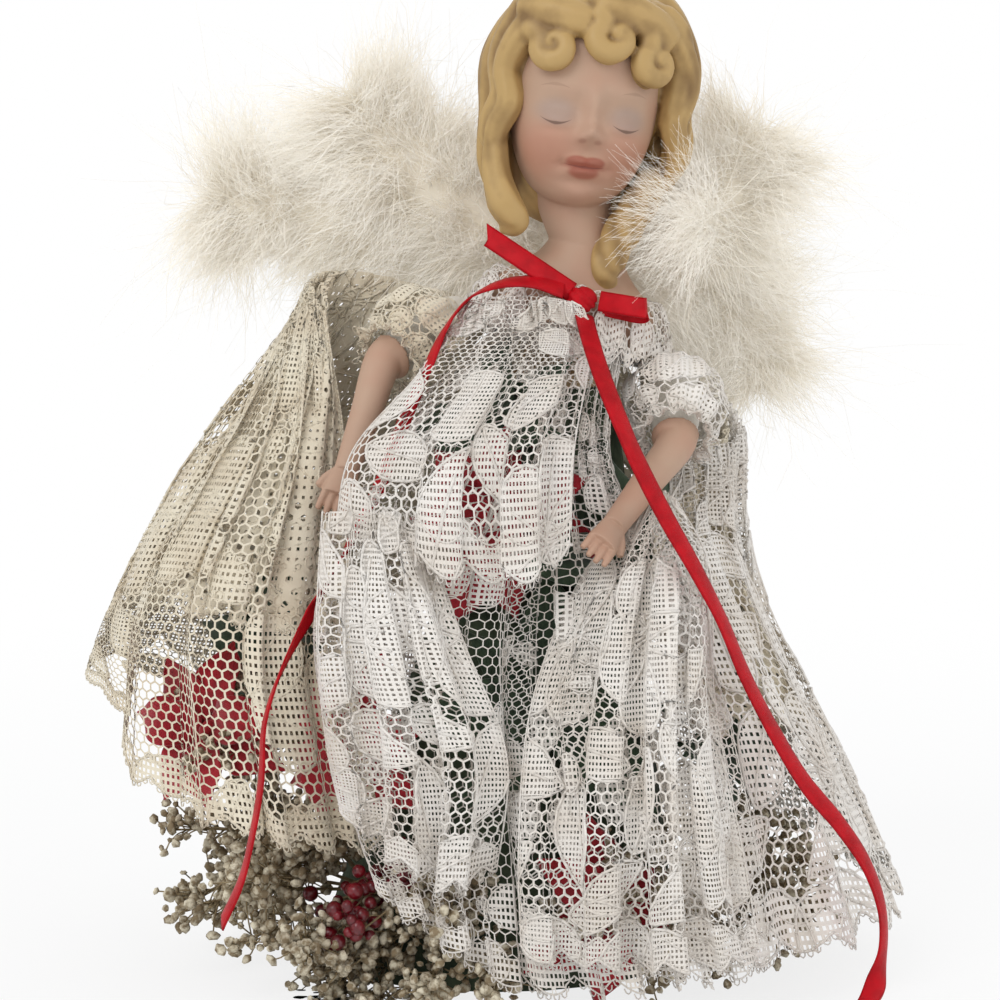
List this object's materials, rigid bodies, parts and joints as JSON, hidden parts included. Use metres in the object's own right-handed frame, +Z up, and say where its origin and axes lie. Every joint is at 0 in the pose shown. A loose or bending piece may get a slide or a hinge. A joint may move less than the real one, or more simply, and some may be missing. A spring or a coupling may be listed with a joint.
{
  "type": "angel ornament",
  "caption": "Free-standing angel ornament with a bisque head and hands, feather wings and a lace dress over a flowered cone; the arms swing forward.",
  "frame": {"origin": "on the resting plane under the middle of the ornament's box, measured without the ribbon tails", "axes": "+Z up, the face looks along -Y, +X is the ornament's own left"},
  "size_m": [0.1396, 0.1186, 0.1645],
  "materials": {
    "card": "card wrapped in dark green florist's tape",
    "wood": "turned, unvarnished",
    "steel": "drawn wire",
    "bisque": "unglazed bisque, hand-painted hair and face",
    "padding": "padded cotton",
    "lace_white": "machine lace, matt",
    "lace_cream": "machine lace, matt",
    "feather": "fluffy down",
    "satin": "satin",
    "petal_silk": "stiffened silk, matt",
    "leaf_fabric": "stiffened fabric, matt",
    "dried_buds": "dried flowers",
    "berries": "glossy"
  },
  "bodies": {
    "figure": {"core_cone": "card", "top_plug": "wood", "arm_wire": "steel", "head_casting": "bisque", "collar": "lace_white", "front_panel_right": "lace_white", "front_panel_left": "lace_white", "cape_panel_right": "lace_cream", "side_panel_left": "lace_white", "back_panel": "lace_white", "right_wing_upper_plume": "feather", "right_wing_outer_plume": "feather", "left_wing_upper_plume": "feather", "left_wing_lower_plume": "feather", "ribbon_knot": "satin", "ribbon_cut_end": "satin", "ribbon_loop": "satin", "ribbon_left_tail": "satin", "ribbon_right_tail": "satin", "red_flower_right": "petal_silk", "red_flower_upper": "petal_silk", "red_flower_front": "petal_silk", "red_flower_back": "petal_silk", "leaf_spray_upper_right": "leaf_fabric", "leaf_spray_upper_left": "leaf_fabric", "leaf_spray_middle": "leaf_fabric", "leaf_spray_left": "leaf_fabric", "leaf_spray_right": "leaf_fabric", "babys_breath_front": "dried_buds", "babys_breath_right": "dried_buds", "babys_breath_left": "dried_buds", "babys_breath_back": "dried_buds", "berry_bunch": "berries"},
    "right_arm": {"right_upper_arm": "padding", "right_forearm": "bisque", "right_sleeve": "lace_white"},
    "left_arm": {"left_upper_arm": "padding", "left_forearm": "bisque", "left_sleeve": "lace_white"}
  },
  "joints": [
    {"name": "right_shoulder", "type": "hinge", "parent": "figure", "child": "right_arm", "pos_m": [0.011, 0, 0.104], "axis": [-0.9703, 0, 0.2419], "range_deg": [0, 25]},
    {"name": "left_shoulder", "type": "hinge", "parent": "figure", "child": "left_arm", "pos_m": [0.011, 0, 0.104], "axis": [-0.9703, 0, 0.2419], "range_deg": [0, 10]}
  ]
}
